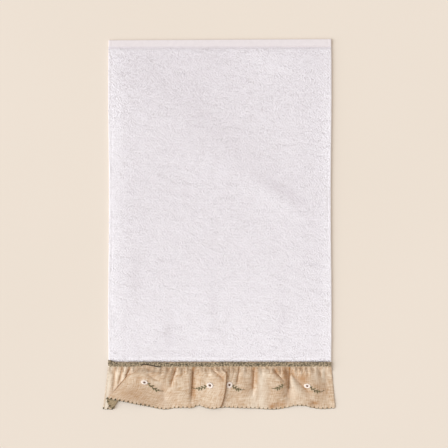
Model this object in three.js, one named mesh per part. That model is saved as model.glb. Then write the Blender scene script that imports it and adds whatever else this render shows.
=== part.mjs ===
// A terry hand towel that lies face up: a white panel, a gathered linen frill sewn over its lower
// end, and a narrow gimp braid that covers the frill's raw heading. Millimetres, +Z up, +X across
// the towel, +Y from the frill to the top hem.
import * as THREE from "three";

// Driving sizes of the terry panel
const TOWEL_WIDTH = 300;
const TERRY_LENGTH = 440.5;
const TERRY_THICK = 3.6;
const TERRY_SEWN = 1.4; // where the frill's seam presses the pile flat
const PILE_SLOPE = 2.5; // length over which the pile rises beside a seam
const TERRY_GRID = { columns: 13, rows: 19 };

// The turned hem along the top and the narrow hems down the sides, each thinner in its sewing line
const TOP_HEM = { wide: 10.5, thick: 3.2, stitched: 1.5 };
const SIDE_HEM = { wide: 4, thick: 3.2, stitched: 2.9 };
const EDGE_THICK = 0.9;
const EDGE_ROUND = 0.5; // width of the rounding along an edge
const HEM_CROWN = 0.6; // share of a hem's width where it is thickest
const HEM_FALL = 0.85; // share of its width where it starts down to the sewing line
const TOP_EDGE_TILT = 1.6; // how much higher the top edge lies at its right end than at its left
const SIDE_WANDER = { by: 0.5, length: 300 }; // how far the sides stray from straight

// Driving sizes of the braid
const GAP = 0.3;
const BRAID_WIDTH = 6.6;
const BRAID_THICK = 1.6;
const BRAID_EDGE = 0.9; // thickness along its two edges
const BRAID_RELIEF = 0.6; // height of one plaited lobe
const BRAID_GROOVE = 0.25; // depth of the line between the two rows of lobes
const BRAID_PITCH = 4.4; // length of one plaited lobe
const BRAID_STEPS = 3; // sections along one lobe
const BRAID_SCALLOP = 0.5; // how far the lobes stand out along its edges
const BRAID_OVERHANG = 0.6; // how far it runs past the towel's sides
const BRAID_TURN = { long: 11, slope: 9, up: 3 }; // the left end, turned over on itself
const BRAID_LOW = 0.5; // its lower edge, above the panel's cut end
const LOBE_ROWS = { lower: 0.28, upper: 0.72 }; // where the lobes crown, as shares of its width

// Driving sizes of the frill
const FRILL_THICK = 1;
const FRILL_HEADING = 6.8; // depth that the braid holds down
const FRILL_DEPTH = 55.2; // depth that hangs free below the braid
const FRILL_FLARE = { left: 7, right: 5 }; // how much wider its hem is, to either side
const FRILL_GRID = { step: 2.1, tuckColumns: 14, headingRows: 2, freeRows: 12, crowding: 1.4 };

// The frill's lie. Depths along it are shares of FRILL_DEPTH, from 0 under the braid to 1 at the hem.
const HEADING_RISE = 0.5; // height of the gathers under the braid
const RELEASE = 0.1; // depth by which the folds have come clear of the braid
const PUFF = { rise: 6.6, full: 0.16, sinks: 0.45, flat: 1.05 };
const END_LIE = { puff: 0.12, starts: 0.08, full: 0.36, from: -5, wide: 56 }; // flatter by the first fold
const END_STRIP = { loose: 0.15, from: 0.8, beside: 4, until: 0.35, flat: 0.7 }; // left of it, it is loose
const FLAP_CROWN = { rise: 0.8, full: 14, flat: 36, starts: 0.1, formed: 0.35, sinks: 0.75 };
const LEFT_END = { ends: -124, puff: 0.2 }; // the puff dies away to either end of the strip
const RIGHT_END = { starts: 120, puff: 0.04 };
const HEM_ARCH = { rise: 1.6, starts: 0.5 }; // how the hem arches off the table
const HEM_WAVE = { length: 71.5, crest: -73, drop: 1.6 };
const GATHER = { pitch: 8.1, rise: 1.1, full: 0.05, gone: 0.24 };
const GATHER_STRAY = { by: 2, length: 107 }; // how the gathers' spacing wanders
const GATHER_SWELL = { least: 0.2, length: 82 }; // how their height comes and goes
const LANDING = { starts: 2, long: 7 }; // the step down past the panel's end to the table

// Troughs between the frill's panels: where each starts under the braid and how far it drifts to its
// foot, its span of depths, how wide its two flanks are, how deep it is, and whether it is a main one.
const TROUGH_START = 0.06; // depth over which a trough opens
const TROUGH_FOOT = 0.6; // share of its foot's depth where a trough starts to close
const TROUGHS = [
  { x: -142, drift: -2, from: 0, to: 0.6, left: 2, right: 4.5, deep: 3, main: false },
  { x: -132.5, drift: -4, from: 0, to: 0.5, left: 2, right: 4.5, deep: 3.2, main: false },
  { x: -122, drift: -5, from: 0, to: 0.3, left: 2.6, right: 3.4, deep: 4.4, main: false },
  { x: -98, drift: 4, from: 0, to: 0.14, left: 3, right: 13, deep: 2.6, main: false },
  { x: -92, drift: 14, from: 0.14, to: 0.42, left: 4, right: 5, deep: 2, main: false },
  { x: -76, drift: 4, from: 0.4, to: 1.3, left: 34, right: 12, deep: 3, main: false },
  { x: -59.5, drift: -7, from: 0, to: 0.55, left: 5, right: 2.6, deep: 4.4, main: true },
  { x: -36.5, drift: -2.5, from: 0, to: 1, left: 2.6, right: 7, deep: 5.2, main: true },
  { x: -11, drift: 10.5, from: 0.02, to: 0.34, left: 4, right: 2.6, deep: 2.8, main: true },
  { x: 25.5, drift: -3, from: 0, to: 0.5, left: 2.6, right: 2.2, deep: 3.6, main: true },
  { x: 46, drift: -2, from: 0, to: 0.8, left: 7, right: 2.6, deep: 4.8, main: true },
  { x: 73, drift: 14, from: 0.02, to: 0.42, left: 3, right: 2.6, deep: 3.2, main: true },
  { x: 94, drift: -3, from: 0, to: 1, left: 6.5, right: 2.2, deep: 6.5, main: true },
  { x: 97, drift: 27, from: 0.1, to: 0.85, left: 5.5, right: 14, deep: 4, main: true },
  { x: 134.5, drift: 1, from: 0, to: 0.3, left: 2.4, right: 2.4, deep: 2.4, main: true },
];

// Folds that lie over onto their neighbour, to the left (-1) or the right (1): where the crest line
// starts, how far it drifts and how late, the depth by which it has turned over, the widths of its
// tucked and its open flank, the bends' radius, and how far it laps at the braid (0) and at the hem (1)
// and is pulled up at the hem.
const LAPPED_FOLDS = [
  {
    toward: -1, x: -104.5, drift: -33, late: 0.75, formed: 0.22,
    tuck: 6, open: 62, radius: 1.3, lap: [0, 7], pull: 15,
  },
  {
    toward: 1, x: 2.5, drift: -9, late: 2, formed: 0.15,
    tuck: 4, open: 24, radius: 0.9, lap: [1.5, 3], pull: 0,
  },
];
const PULL_FADE = 1.5; // how fast the pull dies away over the open flank

// Soft swells that keep the pile from lying dead flat
const SWELLS = [
  { x: -60, y: 330, long: 120, wide: 34, turn: 0.25, rise: 0.35 },
  { x: 70, y: 250, long: 110, wide: 30, turn: -0.35, rise: 0.4 },
  { x: -80, y: 150, long: 90, wide: 40, turn: 0.15, rise: 0.3 },
  { x: 40, y: 90, long: 140, wide: 30, turn: -0.1, rise: 0.35 },
  { x: 95, y: 380, long: 70, wide: 28, turn: 0.5, rise: 0.3 },
];

const mix = THREE.MathUtils.lerp;
const smooth = THREE.MathUtils.smoothstep;
const fade = (value, start, end) => 1 - smooth(value, start, end);
const bell = (distance, width) => Math.exp(-((distance / width) ** 2));
const arch = (share) => (Math.abs(share) < 1 ? (1 + Math.cos(Math.PI * share)) / 2 : 0);
const turns = (distance, length) => (2 * Math.PI * distance) / length;

// Joins a face and a back, grids with rows along +Y and columns along +X, into one closed sheet.
function closedSheet(face, back) {
  const rows = face.length;
  const columns = face[0].length;
  const faceAt = (row, column) => row * columns + column;
  const backAt = (row, column) => rows * columns + faceAt(row, column);
  const triangles = [];
  const quad = (a, b, c, d) => triangles.push(a, b, c, a, c, d);
  for (let r = 0; r < rows - 1; r++) {
    for (let c = 0; c < columns - 1; c++) {
      quad(faceAt(r, c), faceAt(r, c + 1), faceAt(r + 1, c + 1), faceAt(r + 1, c));
      quad(backAt(r, c), backAt(r + 1, c), backAt(r + 1, c + 1), backAt(r, c + 1));
    }
  }
  const wall = (r0, c0, r1, c1) =>
    quad(faceAt(r1, c1), faceAt(r0, c0), backAt(r0, c0), backAt(r1, c1));
  for (let c = 0; c < columns - 1; c++) {
    wall(0, c, 0, c + 1);
    wall(rows - 1, c + 1, rows - 1, c);
  }
  for (let r = 0; r < rows - 1; r++) {
    wall(r, columns - 1, r + 1, columns - 1);
    wall(r + 1, 0, r, 0);
  }
  return solidGeometry([...face.flat(), ...back.flat()], triangles);
}

function solidGeometry(points, triangles) {
  const geometry = new THREE.BufferGeometry().setFromPoints(points);
  geometry.setIndex(triangles);
  geometry.computeVertexNormals();
  return geometry;
}

// Grid lines from 0 to length: even ones in the middle, and the given insets from either end.
function gridLines(length, insetsLow, insetsHigh, evenCount) {
  const low = insetsLow.at(-1);
  const high = length - insetsHigh.at(-1);
  const even = Array.from({ length: evenCount - 1 }, (_, i) => mix(low, high, (i + 1) / evenCount));
  return [...insetsLow, ...even, ...insetsHigh.map((inset) => length - inset).reverse()];
}

const seamEnd = BRAID_LOW + BRAID_WIDTH + GAP;

// Height of the terry's face at (x, y), with y from the panel's cut end.
function terryHeight(x, y) {
  const swell = SWELLS.reduce((sum, s) => {
    const along = (x - s.x) * Math.cos(s.turn) + (y - s.y) * Math.sin(s.turn);
    const across = (y - s.y) * Math.cos(s.turn) - (x - s.x) * Math.sin(s.turn);
    return sum + s.rise * bell(along, s.long) * bell(across, s.wide);
  }, 0);
  const pile = TERRY_THICK + swell;
  const hemmed = (inset, { wide, thick, stitched }) => {
    if (inset > wide) {
      return mix(stitched, pile, smooth(inset, wide, wide + PILE_SLOPE));
    }
    const rounded = mix(EDGE_THICK, thick, Math.sqrt(smooth(inset, 0, wide * HEM_CROWN)));
    return rounded - (thick - stitched) * smooth(inset, wide * HEM_FALL, wide);
  };
  const seam = mix(TERRY_SEWN, pile, smooth(y, seamEnd, seamEnd + PILE_SLOPE));
  const side = hemmed(TOWEL_WIDTH / 2 - Math.abs(x), SIDE_HEM);
  return Math.min(side, hemmed(TERRY_LENGTH - y, TOP_HEM), seam);
}

function terryPanel() {
  const hemInsets = ({ wide }) => {
    const hem = [0, EDGE_ROUND, wide * HEM_CROWN, wide * HEM_FALL, wide];
    return [...hem, wide + PILE_SLOPE];
  };
  const endInsets = [0, seamEnd, seamEnd + PILE_SLOPE];
  const columns = gridLines(TOWEL_WIDTH, hemInsets(SIDE_HEM), hemInsets(SIDE_HEM), TERRY_GRID.columns);
  const rows = gridLines(TERRY_LENGTH, endInsets, hemInsets(TOP_HEM), TERRY_GRID.rows);
  const sheet = (height) =>
    rows.map((y) =>
      columns.map((column) => {
        const x = column - TOWEL_WIDTH / 2;
        const outward = (x / (TOWEL_WIDTH / 2)) ** 3;
        const stray = SIDE_WANDER.by * Math.sin(turns(y, SIDE_WANDER.length)) * outward;
        const tilt = (TOP_EDGE_TILT * x * (y / TERRY_LENGTH) ** 4) / TOWEL_WIDTH;
        return new THREE.Vector3(x + stray, y + tilt, height(x, y));
      }),
    );
  return closedSheet(sheet(terryHeight), sheet(() => 0));
}

const troughLine = ({ x, drift, from, to }, share) => x + drift * smooth(share, from, to);

// Depth of a trough at x, at a share of the frill's depth.
function troughDepth(trough, x, share) {
  const { from, to, left, right, deep } = trough;
  const offset = x - troughLine(trough, share);
  const opened = smooth(share, from - TROUGH_START, from + TROUGH_START);
  const closing = fade(share, to * TROUGH_FOOT, to);
  return deep * opened * closing * bell(offset, offset < 0 ? left : right);
}

const foldCrest = ({ x, drift, late }, share) => x + drift * share ** late;
const foldFoot = (fold, share) => foldCrest(fold, share) + fold.toward * fold.tuck;

// The tucked flank of a lapped fold, a share of the way from its foot to its crest: the cloth bends up
// and back by an angle, lies flat for the lap's length, and bends the other way.
function tuckSection(way, angle, radius, lap) {
  const bend = radius * angle;
  const along = way * (2 * bend + lap);
  const first = Math.min(along, bend) / radius;
  const flat = THREE.MathUtils.clamp(along - bend, 0, lap);
  const second = angle - Math.max(0, along - bend - lap) / radius;
  const inward = Math.sin(first) + Math.sin(angle) - Math.sin(second);
  const upward = 1 - Math.cos(first) + Math.cos(second) - Math.cos(angle);
  return {
    inward: radius * inward + flat * Math.cos(angle),
    upward: radius * upward + flat * Math.sin(angle),
  };
}

// How far a lapped fold carries the cloth at x sideways, up the towel and off its seat.
function foldShift(fold, x, share) {
  const { toward, tuck, open, radius, pull } = fold;
  const out = (x - foldCrest(fold, share)) * toward;
  if (out > tuck || out < -open) {
    return new THREE.Vector3();
  }
  const formed = smooth(share, 0, fold.formed);
  const way = out < 0 ? 1 : 1 - out / tuck;
  const { inward, upward } = tuckSection(way, Math.PI * formed, radius, mix(...fold.lap, share));
  const sideways = toward * formed * (tuck * way - inward);
  const eased = out < 0 ? arch(out / open) : 1;
  const tug = out < 0 ? (1 + out / open) ** PULL_FADE : smooth(way, 0, 1);
  return new THREE.Vector3(sideways * eased, pull * share ** 2 * tug, upward * formed * eased);
}

// Lines that the grid's columns follow down the frill, in their order under the braid: its ends, its
// lapped folds and its main troughs.
const GUIDES = [
  (share) => -TOWEL_WIDTH / 2 - FRILL_FLARE.left * share,
  (share) => TOWEL_WIDTH / 2 + FRILL_FLARE.right * share,
  ...LAPPED_FOLDS.flatMap((fold) => [
    (share) => foldCrest(fold, share),
    (share) => foldFoot(fold, share),
  ]),
  ...TROUGHS.filter(({ main }) => main).map((trough) => (share) => troughLine(trough, share)),
].sort((a, b) => a(0) - b(0));

// Where the guide lines run at a share of the frill's depth. A line that drifts keeps its left
// neighbour ahead of it.
function guidePlaces(share) {
  const places = GUIDES.map((guide) => guide(share));
  for (let i = places.length - 2; i >= 0; i--) {
    places[i] = Math.min(places[i], places[i + 1] - FRILL_GRID.step);
  }
  return places;
}

// Lowest height of the frill's middle layer: over the panel's end, then down to the table.
function frillSeat(y) {
  const table = FRILL_THICK / 2;
  const panel = TERRY_SEWN + GAP + FRILL_THICK / 2;
  return mix(panel, table, smooth(-y, LANDING.starts, LANDING.starts + LANDING.long));
}

// Where the first fold's flap ends on the left, over the cloth at a share of the frill's depth: the
// pull has carried the flap up from farther down.
function flapReach(share) {
  const { tuck, lap, pull } = LAPPED_FOLDS[0];
  const bend = pull / FRILL_DEPTH;
  const from = (1 - Math.sqrt(Math.max(0, 1 - 4 * bend * share))) / (2 * bend);
  return foldCrest(LAPPED_FOLDS[0], from) - tuck - mix(...lap, from);
}

// How full the first fold's flap is, at a distance from its crest: it swells and dies away to the right.
function flapCrown(fromFold, share) {
  const { full, flat, starts, formed, sinks } = FLAP_CROWN;
  const across = smooth(fromFold, 0, full) * fade(fromFold, full, flat);
  return across * smooth(share, starts, formed) * fade(share, sinks, 1);
}

// Height of the frill above its seat, before its lapped folds.
function frillRise(x, share, wave) {
  const stray = GATHER_STRAY.by * Math.sin(turns(x, GATHER_STRAY.length));
  const gather = Math.sin(turns(x, GATHER.pitch) + stray);
  const swell = mix(GATHER_SWELL.least, 1, (1 + Math.sin(turns(x, GATHER_SWELL.length))) / 2);
  const freed = smooth(share, 0, RELEASE);
  const heading = (HEADING_RISE / 2) * (1 + gather) * (1 - freed);
  const gathers = gather * swell * smooth(share, 0, GATHER.full) * fade(share, GATHER.full, GATHER.gone);
  const [firstFold] = LAPPED_FOLDS;
  const fromFold = x - foldCrest(firstFold, share);
  const strip = mix(END_STRIP.loose, 1, smooth(share, END_STRIP.until, END_STRIP.flat));
  const beside = mix(1, strip, smooth(flapReach(share) - x, END_STRIP.from, END_STRIP.beside));
  const laid = smooth(share, END_LIE.starts, END_LIE.full) * fade(fromFold, END_LIE.from, END_LIE.wide);
  const open = smooth(share, 0, PUFF.full) * fade(share, PUFF.sinks, PUFF.flat);
  const left = mix(LEFT_END.puff, 1, smooth(x, -TOWEL_WIDTH / 2, LEFT_END.ends));
  const right = mix(1, RIGHT_END.puff, smooth(x, RIGHT_END.starts, TOWEL_WIDTH / 2));
  const puff = open * mix(1, END_LIE.puff, laid * beside) * left * right;
  const hem = ((1 - wave) / 2) * smooth(share, HEM_ARCH.starts, 1);
  const troughs = TROUGHS.reduce((sum, trough) => sum + troughDepth(trough, x, share), 0);
  const lifted = PUFF.rise * puff + HEM_ARCH.rise * hem + FLAP_CROWN.rise * flapCrown(fromFold, share);
  return heading + GATHER.rise * gathers + lifted - troughs * freed;
}

// Middle of the frill's cloth. Across counts the spans between the guide lines, and down is measured
// from the heading's raw edge.
function frillPoint(across, down) {
  const share = Math.max(0, (down - FRILL_HEADING) / FRILL_DEPTH);
  const guides = guidePlaces(share);
  const span = THREE.MathUtils.clamp(Math.floor(across), 0, guides.length - 2);
  const x = mix(guides[span], guides[span + 1], across - span);
  const wave = Math.cos(turns(x - HEM_WAVE.crest, HEM_WAVE.length));
  const free = BRAID_LOW - BRAID_SCALLOP - GAP;
  const point = new THREE.Vector3(x, free + FRILL_HEADING - down - HEM_WAVE.drop * wave * share, 0);
  LAPPED_FOLDS.forEach((fold) => point.add(foldShift(fold, x, share)));
  point.z = frillSeat(point.y) + Math.max(0, point.z + frillRise(x, share, wave));
  return point;
}

// Places across the frill's grid, closer together in the tucks of its lapped folds.
function frillColumns() {
  const guides = guidePlaces(0);
  const tucks = LAPPED_FOLDS.map((fold) => Math.min(foldCrest(fold, 0), foldFoot(fold, 0)));
  const spans = guides.slice(1).map((high, i) => {
    const { step, tuckColumns } = FRILL_GRID;
    const count = tucks.includes(guides[i]) ? tuckColumns : Math.ceil((high - guides[i]) / step);
    return Array.from({ length: count }, (_, column) => i + column / count);
  });
  return [...spans.flat(), spans.length];
}

// A gathered strip: its middle layer, thickened to both sides and pressed flat where it meets the table.
function frill() {
  const { headingRows, freeRows, crowding } = FRILL_GRID;
  const heading = Array.from({ length: headingRows + 1 }, (_, i) => (i / headingRows) * FRILL_HEADING);
  const hanging = Array.from({ length: freeRows }, (_, i) => ((i + 1) / freeRows) ** crowding);
  const downs = [...heading, ...hanging.map((share) => FRILL_HEADING + share * FRILL_DEPTH)].reverse();
  const acrosses = frillColumns();
  const step = { across: 0.02, down: 0.2 };
  const offsetPoint = (across, down, side) => {
    const along = frillPoint(across + step.across, down).sub(frillPoint(across - step.across, down));
    const upward = frillPoint(across, down - step.down).sub(frillPoint(across, down + step.down));
    const normal = along.cross(upward).normalize();
    const point = frillPoint(across, down).addScaledVector(normal, (side * FRILL_THICK) / 2);
    point.z = Math.max(point.z, frillSeat(point.y) - FRILL_THICK / 2);
    return point;
  };
  const layer = (side) => downs.map((down) => acrosses.map((across) => offsetPoint(across, down, side)));
  return closedSheet(layer(1), layer(-1));
}

// A flat gimp: a strip with a flat underside whose two rows of lobes alternate like a plait.
function braid() {
  const half = TOWEL_WIDTH / 2 + BRAID_OVERHANG;
  const steps = Math.round((2 * half) / BRAID_PITCH) * BRAID_STEPS;
  const seat = TERRY_SEWN + GAP + FRILL_THICK + HEADING_RISE + GAP;
  const sections = Array.from({ length: steps + 1 }, (_, i) => {
    const x = mix(-half, half, i / steps);
    const upper = (1 + Math.cos(turns(i, BRAID_STEPS))) / 2;
    const lower = 1 - upper;
    const turned = fade(x + half, BRAID_TURN.long - BRAID_TURN.slope, BRAID_TURN.long);
    const low = BRAID_LOW - BRAID_SCALLOP * lower;
    const high = BRAID_LOW + BRAID_WIDTH - BRAID_SCALLOP * lower + BRAID_TURN.up * turned;
    const base = seat + GAP * turned;
    const top = base + BRAID_THICK;
    const outline = [
      [low, base],
      [low, base + BRAID_EDGE],
      [mix(low, high, LOBE_ROWS.lower), top + BRAID_RELIEF * lower],
      [mix(low, high, 0.5), top - BRAID_GROOVE],
      [mix(low, high, LOBE_ROWS.upper), top + BRAID_RELIEF * upper],
      [high, base + BRAID_EDGE],
      [high, base],
    ];
    return outline.map(([y, z]) => new THREE.Vector3(x, y, z));
  });
  return loftAlongX(sections);
}

// Joins like sections, each an outline that runs from low y over the top to high y, into one bar.
function loftAlongX(sections) {
  const size = sections[0].length;
  const triangles = [];
  for (let s = 0; s < sections.length - 1; s++) {
    for (let p = 0; p < size; p++) {
      const a = s * size + p;
      const b = s * size + ((p + 1) % size);
      triangles.push(a, a + size, b + size, a, b + size, b);
    }
  }
  const last = (sections.length - 1) * size;
  for (let p = 1; p < size - 1; p++) {
    triangles.push(0, p, p + 1, last, last + p + 1, last + p);
  }
  return solidGeometry(sections.flat(), triangles);
}

const cloth = (color, roughness) =>
  new THREE.MeshStandardMaterial({ color, roughness, metalness: 0, side: THREE.DoubleSide });

const pieces = [
  ["terry_panel", terryPanel(), cloth(0xe9e3e7, 0.95)],
  ["frill", frill(), cloth(0xd8bd9f, 0.85)],
  ["braid", braid(), cloth(0x8c7e6b, 0.8)],
];

const handTowel = new THREE.Group();
for (const [name, geometry, material] of pieces) {
  const mesh = new THREE.Mesh(geometry, material);
  mesh.name = name;
  handTowel.add(mesh);
}

// The origin is on the table, under the middle of the whole towel.
const reach = new THREE.Box3().setFromObject(handTowel);
const middle = reach.getCenter(new THREE.Vector3());
for (const mesh of handTowel.children) {
  mesh.position.set(-middle.x, -middle.y, -reach.min.z);
}

export default handTowel;
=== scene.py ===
# %% [markdown]
# # A terry hand towel with a gathered frill
# The towel lies face up: a white terry panel, a gathered linen frill along its lower end,
# and a flat braid sewn over the join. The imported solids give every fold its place.
# This lesson dresses them: pile, weave, plaited yarn, sewing and embroidery.

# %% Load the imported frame
import math

import bpy
import numpy as np
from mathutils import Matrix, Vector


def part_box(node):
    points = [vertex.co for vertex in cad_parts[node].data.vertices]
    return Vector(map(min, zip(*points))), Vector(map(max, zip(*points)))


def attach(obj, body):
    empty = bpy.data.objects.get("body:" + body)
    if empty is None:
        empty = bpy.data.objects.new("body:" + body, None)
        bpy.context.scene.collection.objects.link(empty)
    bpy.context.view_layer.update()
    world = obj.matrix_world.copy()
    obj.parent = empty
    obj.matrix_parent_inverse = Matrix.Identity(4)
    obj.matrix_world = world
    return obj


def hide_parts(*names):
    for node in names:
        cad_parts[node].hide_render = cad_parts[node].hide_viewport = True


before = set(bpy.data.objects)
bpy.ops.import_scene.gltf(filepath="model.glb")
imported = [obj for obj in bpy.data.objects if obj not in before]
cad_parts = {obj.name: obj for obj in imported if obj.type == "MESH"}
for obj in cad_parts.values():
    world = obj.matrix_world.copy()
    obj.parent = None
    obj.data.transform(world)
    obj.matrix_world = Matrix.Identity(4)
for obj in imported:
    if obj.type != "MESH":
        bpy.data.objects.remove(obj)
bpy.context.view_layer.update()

for node in ("terry_panel", "frill", "braid"):
    low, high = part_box(node)
    print(node, [round(1000 * side, 1) for side in high - low], "mm")

# %% [markdown]
# ## Measures
# Cloth is easiest to think about in millimetres on the towel itself. So every piece is worked out
# with x from the towel's middle line and y up from the panel's cut lower end, and only the last
# step moves it into the frame. The boxes of the panel and the braid say where that corner is.

# %% Towel measures
MM = 0.001
TOWEL_WIDTH = 300
HALF_WIDTH = TOWEL_WIDTH / 2
TERRY_LENGTH = 440.5
terry_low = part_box("terry_panel")[0]
braid_low, braid_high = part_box("braid")
corner = np.array([(braid_low.x + braid_high.x) / 2, terry_low.y, 0])


def in_frame(points):
    return np.asarray(points, dtype=float) * MM + corner


print("towel corner at", np.round(corner, 4), "m")

# %% [markdown]
# Three small curves shape nearly everything below. The first rises softly from 0 to 1 between two
# places, the second blends two values by a share, and the third is a rounded hump of a given width.

# %% Curves


def smooth(value, start, end):
    share = np.clip((value - start) / (end - start), 0, 1)
    return share * share * (3 - 2 * share)


def mix(start, end, share):
    return start + (end - start) * share


def bell(distance, width):
    return np.exp(-((distance / width) ** 2))


# %% [markdown]
# ## Materials
# One function turns a given screen colour into the linear numbers that the renderer mixes.
# A second one adds a node with its settings and its links, so that each material reads from top to
# bottom. Pattern sizes come from real millimetres: a texture of scale 1 repeats about once a metre.

# %% Material helpers
# A Mix node has sockets for every kind of data. These are the numbers of those for colours.
FACTOR, TONE_A, TONE_B, MIXED = 0, 6, 7, 2


def linear(code):
    parts = [int(code[i:i + 2], 16) / 255 for i in (1, 3, 5)]
    return [*((p / 12.92 if p <= 0.04045 else ((p + 0.055) / 1.055) ** 2.4) for p in parts), 1]


def add_node(material, kind, inputs, **settings):
    node = material.node_tree.nodes.new(kind)
    for name, value in settings.items():
        setattr(node, name, value)
    for name, value in inputs.items():
        if isinstance(value, bpy.types.NodeSocket):
            material.node_tree.links.new(value, node.inputs[name])
        else:
            node.inputs[name].default_value = value
    return node


def new_material(name, roughness, sheen):
    material = bpy.data.materials.new(name)
    material.use_nodes = True
    shader = material.node_tree.nodes["Principled BSDF"]
    shader.inputs["Roughness"].default_value = roughness
    shader.inputs["Specular IOR Level"].default_value = 0.2
    shader.inputs["Sheen Weight"].default_value = sheen
    shader.inputs["Sheen Roughness"].default_value = 0.6
    return material, shader


# %% [markdown]
# Terry is bleached cotton with a faint cool cast. Its loops shade each other, so the colour itself
# only drifts softly from tuft to tuft, a tuft being a clump of a few loops. Pressed pile looks darker
# and brushed pile lighter, and some light and shade is painted in as well. An attribute of the pieces,
# holding both the nap and that painted light and shade, moves the blend between the two whites.

# %% Terry cotton
TUFT = 6.25 * MM
TUFT_DRIFT = 0.5
terry_cotton, shader = new_material("terry_cotton", roughness=0.95, sheen=0.15)
place = add_node(terry_cotton, "ShaderNodeTexCoord", {}).outputs["Object"]
tufts = add_node(terry_cotton, "ShaderNodeTexNoise", {"Vector": place, "Scale": 1 / TUFT, "Detail": 3})
# Nap and painted light and shade, read from the pieces' attribute.
nap_and_shading = add_node(terry_cotton, "ShaderNodeAttribute", {}, attribute_name="nap_and_shading").outputs["Fac"]
level = add_node(terry_cotton, "ShaderNodeMath", {
    0: tufts.outputs["Fac"], 1: TUFT_DRIFT, 2: nap_and_shading}, operation="MULTIPLY_ADD")
cotton = add_node(terry_cotton, "ShaderNodeMix", {
    FACTOR: level.outputs["Value"], TONE_A: linear("#e5dee2"), TONE_B: linear("#fcf8fb")}, data_type="RGBA")
terry_cotton.node_tree.links.new(cotton.outputs[MIXED], shader.inputs["Base Color"])
print(terry_cotton.name, "with tufts of", TUFT / MM, "mm")

# %% [markdown]
# The ground under the loops is flat woven, and the top hem shows it bare. Without loops it looks
# smoother and a little warmer than the pile, so it gets a cotton of its own. Its true ribs are too
# fine to show, so they are drawn a few millimetres wide.

# %% Flat cotton ground
RIB = 4.545 * MM
flat_cotton, shader = new_material("flat_cotton_ground", roughness=0.9, sheen=0.1)
place = add_node(flat_cotton, "ShaderNodeTexCoord", {}).outputs["Object"]
ribs = add_node(flat_cotton, "ShaderNodeTexNoise", {"Vector": place, "Scale": 1 / RIB, "Detail": 3})
cotton = add_node(flat_cotton, "ShaderNodeMix", {
    FACTOR: ribs.outputs["Fac"], TONE_A: linear("#e4dbdc"), TONE_B: linear("#efe7e8")}, data_type="RGBA")
flat_cotton.node_tree.links.new(cotton.outputs[MIXED], shader.inputs["Base Color"])
print(flat_cotton.name, "with ribs of", round(RIB / MM, 1), "mm")

# %% [markdown]
# The frill is unbleached linen. Linen threads swell and thin along their length, and these slubs make
# the cloth look streaky both ways. The true threads are finer than a point of the picture, so they are
# drawn a little over a millimetre wide here. The weave follows the cloth's own map, not the room.

# %% Linen weave
THREAD = 1.3 * MM
# A slub is about eight times as long as it is wide.
SLUB = 0.12


def linen_weave(material, cloth):
    """The height of the weave: streaks along the cloth and streaks across it, added up."""
    streaks = []
    for stretch in ((1, SLUB, 1), (SLUB, 1, 1)):
        along = add_node(material, "ShaderNodeVectorMath", {0: cloth, 1: stretch}, operation="MULTIPLY")
        slub = add_node(material, "ShaderNodeTexNoise", {
            "Vector": along.outputs["Vector"], "Scale": 1 / THREAD, "Detail": 2, "Roughness": 0.6})
        streaks.append(slub.outputs["Fac"])
    woven = add_node(material, "ShaderNodeMath", {0: streaks[0], 1: streaks[1]}, operation="ADD")
    return woven.outputs["Value"]


# %% [markdown]
# The colour has three steps. Thin and thick threads blend a dark and a light tone. Then painted shade
# turns cloth deep in a fold towards a deep brown, and faint worn patches a few centimetres wide get the
# same brown. Last, raised panels get a painted highlight. Two attributes of the sheet say where. The wrong
# side is duller, and its darker tones also paint the shade that lies on it where a fold turns it up.

# %% Unbleached linen
PATCH = 26 * MM
RELIEF = 0.4 * MM


def linen(name, dark, light, deep, highlight):
    material, shader = new_material(name, roughness=0.88, sheen=0.2)
    cloth = add_node(material, "ShaderNodeUVMap", {}, uv_map="weave").outputs["UV"]
    woven = linen_weave(material, cloth)
    level = add_node(material, "ShaderNodeMapRange", {"Value": woven, "From Min": 0.75, "From Max": 1.25})
    tone = add_node(material, "ShaderNodeMix", {
        FACTOR: level.outputs["Result"], TONE_A: linear(dark), TONE_B: linear(light)}, data_type="RGBA")
    worn = add_node(material, "ShaderNodeTexNoise", {"Vector": cloth, "Scale": 1 / PATCH, "Detail": 3})
    patch = add_node(material, "ShaderNodeMapRange", {
        "Value": worn.outputs["Fac"], "From Min": 0.42, "From Max": 0.72, "To Max": 0.3})
    # Painted shade: the fold attribute darkens the cloth towards the deep brown.
    fold = add_node(material, "ShaderNodeAttribute", {}, attribute_name="fold").outputs["Fac"]
    wear_and_shade = add_node(material, "ShaderNodeMath", {0: patch.outputs["Result"], 1: fold}, operation="MAXIMUM")
    shaded = add_node(material, "ShaderNodeMix", {
        FACTOR: wear_and_shade.outputs["Value"], TONE_A: tone.outputs[MIXED], TONE_B: linear(deep)}, data_type="RGBA")
    # Painted highlight: raised panels turn towards the pale colour.
    painted_highlight = add_node(material, "ShaderNodeAttribute", {}, attribute_name="painted_highlight").outputs["Fac"]
    highlighted = add_node(material, "ShaderNodeMix", {
        FACTOR: painted_highlight, TONE_A: shaded.outputs[MIXED], TONE_B: linear(highlight)}, data_type="RGBA")
    relief = add_node(material, "ShaderNodeBump", {"Height": woven, "Strength": 0.7, "Distance": RELIEF})
    material.node_tree.links.new(highlighted.outputs[MIXED], shader.inputs["Base Color"])
    material.node_tree.links.new(relief.outputs["Normal"], shader.inputs["Normal"])
    return material


# In each, the third colour is the painted shade's brown and the fourth the painted highlight.
linen_face = linen("unbleached_linen", "#c3a17e", "#efdcc5", "#a2661a", "#f9ecd9")
# Darker tones on the wrong side, partly painted shade for where a fold turns it up.
linen_back_shaded = linen("linen_wrong_side_shaded", "#9a8566", "#bea988", "#7e694b", "#c9b593")
print(linen_face.name, "and", linen_back_shaded.name, "with threads of", THREAD / MM, "mm")

# %% [markdown]
# Sewing and embroidery threads are thin, and glossier than the cloth. Each has one colour that wanders
# a little from stitch to stitch, because dyed thread never takes the colour evenly. The last number of
# each is the length over which its colour changes.

# %% Threads and yarn


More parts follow.
